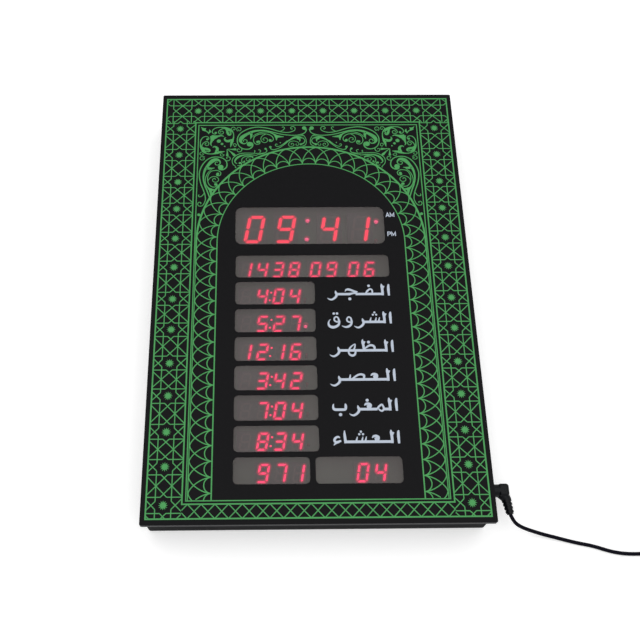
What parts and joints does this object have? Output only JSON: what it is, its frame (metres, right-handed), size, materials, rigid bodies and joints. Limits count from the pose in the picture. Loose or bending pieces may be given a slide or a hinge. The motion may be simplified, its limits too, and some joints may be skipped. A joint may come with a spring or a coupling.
{
  "type": "azan clock",
  "caption": "Rectangular prayer-time clock with a printed face, red LED time, date and prayer displays in windows, side buttons, rear loudspeaker, keyhole hangers and a plug-in mains lead.",
  "frame": {"origin": "on the table, under the middle of the face, with the clock lying on its four rubber feet", "axes": "+X to the right across the face, +Y towards the top of the face, +Z out of the face"},
  "size_m": [0.525, 0.4688, 0.0507],
  "materials": {
    "face_panel": "clear acrylic sheet tinted dark grey, glossy front, matt sawn edge",
    "face_print": "black printed film, fine satin texture, green line ornament",
    "foam_tape": "black closed-cell foam tape",
    "case_plastic": "black moulded ABS, fine spark texture",
    "screw_steel": "zinc-plated steel",
    "plate_steel": "galvanised steel sheet",
    "foot_rubber": "black rubber",
    "circuit_board": "green solder mask on glass-fibre board",
    "display_housing": "dark grey LED module housing, matt, with red lit segments",
    "led_red": "red epoxy LED",
    "standoff_nylon": "natural nylon",
    "component_black": "black moulded component",
    "connector_white": "off-white nylon connector",
    "cell_steel": "stainless coin cell",
    "ribbon_grey": "grey flat cable",
    "wire_red": "insulated hook-up wire",
    "speaker_paper": "pressed paper pulp cone",
    "button_plastic": "dark grey moulded keys",
    "plug_plastic": "glossy black PVC moulding",
    "barrel_nickel": "nickel-plated barrel",
    "cord_pvc": "black PVC lead, slight sheen",
    "pin_brass": "nickel-plated brass pins"
  },
  "bodies": {
    "case": {"front_panel": "face_panel", "printed_overlay": "face_print", "panel_tape": "foam_tape", "case_frame": "case_plastic", "back_cover": "case_plastic", "cover_screws": "screw_steel", "rubber_feet": "foot_rubber", "hanger_plates": "plate_steel", "hanger_rivets": "screw_steel", "time_digit_modules": "display_housing", "date_year_module": "display_housing", "date_month_module": "display_housing", "date_day_module": "display_housing", "fajr_module": "display_housing", "sunrise_module": "display_housing", "dhuhr_module": "display_housing", "asr_module": "display_housing", "maghrib_module": "display_housing", "isha_module": "display_housing", "area_code_module": "display_housing", "city_code_module": "display_housing", "time_leds": "led_red", "prayer_leds": "led_red", "display_board": "circuit_board", "board_standoffs": "standoff_nylon", "board_screws": "screw_steel", "control_board": "circuit_board", "controller_chip": "component_black", "coin_cell_holder": "component_black", "coin_cell": "cell_steel", "capacitors": "component_black", "board_connectors": "connector_white", "ribbon_cable": "ribbon_grey", "speaker_basket": "plate_steel", "speaker_cone": "speaker_paper", "speaker_magnet": "component_black", "speaker_screws": "screw_steel", "speaker_wires": "wire_red", "power_wires": "wire_red", "button_switches": "component_black", "button_board": "circuit_board", "dc_jack": "component_black", "dc_jack_nut": "screw_steel", "dc_plug_barrel": "barrel_nickel", "dc_plug_head": "plug_plastic", "dc_plug_relief": "plug_plastic", "power_cord": "cord_pvc", "power_cord_coil": "cord_pvc", "power_cord_tail": "cord_pvc", "cord_tie": "cord_pvc", "adapter_relief": "plug_plastic", "adapter_body": "plug_plastic", "adapter_pins": "pin_brass"},
    "menu_button": {"menu_button": "button_plastic"},
    "up_button": {"up_button": "button_plastic"},
    "down_button": {"down_button": "button_plastic"},
    "set_button": {"set_button": "button_plastic"},
    "stop_button": {"stop_button": "button_plastic"}
  },
  "joints": [
    {"name": "menu_press", "type": "slide", "parent": "case", "child": "menu_button", "axis": [1, 0, 0], "range_m": [0, 0.0005], "stiffness_N_per_m": 1600},
    {"name": "up_press", "type": "slide", "parent": "case", "child": "up_button", "axis": [1, 0, 0], "range_m": [0, 0.0005], "stiffness_N_per_m": 1600},
    {"name": "down_press", "type": "slide", "parent": "case", "child": "down_button", "axis": [1, 0, 0], "range_m": [0, 0.0005], "stiffness_N_per_m": 1600},
    {"name": "set_press", "type": "slide", "parent": "case", "child": "set_button", "axis": [1, 0, 0], "range_m": [0, 0.0005], "stiffness_N_per_m": 1600},
    {"name": "stop_press", "type": "slide", "parent": "case", "child": "stop_button", "axis": [1, 0, 0], "range_m": [0, 0.0005], "stiffness_N_per_m": 1600}
  ]
}
